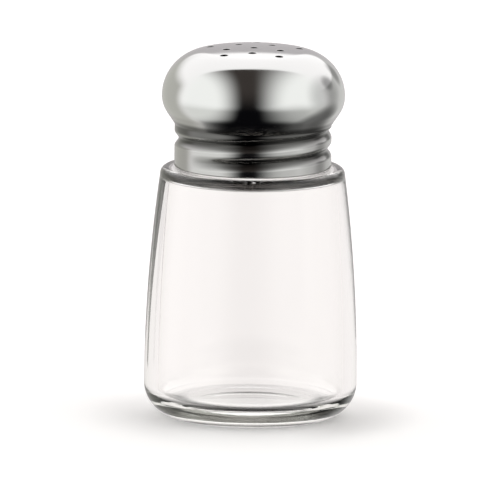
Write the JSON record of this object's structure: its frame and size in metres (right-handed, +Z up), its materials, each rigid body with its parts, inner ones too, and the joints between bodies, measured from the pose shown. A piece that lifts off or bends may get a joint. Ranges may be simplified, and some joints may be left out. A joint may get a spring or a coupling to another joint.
{
  "type": "table shaker",
  "caption": "Small clear glass salt or pepper shaker: a tapered round jar with a thick base and a screwed-on domed metal cap with staggered pouring holes.",
  "frame": {"origin": "centre of the foot ring, on the surface that the jar stands on", "axes": "+Z up along the jar's axis; -Y is the front, from which the pouring holes' inner ring shows one hole nearest"},
  "size_m": [0.0472, 0.0472, 0.0826],
  "materials": {
    "clear_glass": "pressed clear soda-lime glass, smooth outside",
    "polished_steel": "bright polished drawn sheet metal"
  },
  "bodies": {
    "jar": {"glass_jar": "clear_glass"},
    "cap": {"shaker_cap": "polished_steel"}
  },
  "joints": [
    {"name": "cap_lift", "type": "slide", "parent": "jar", "child": "cap", "axis": [0, 0, 1], "range_m": [0, 0.03]}
  ]
}
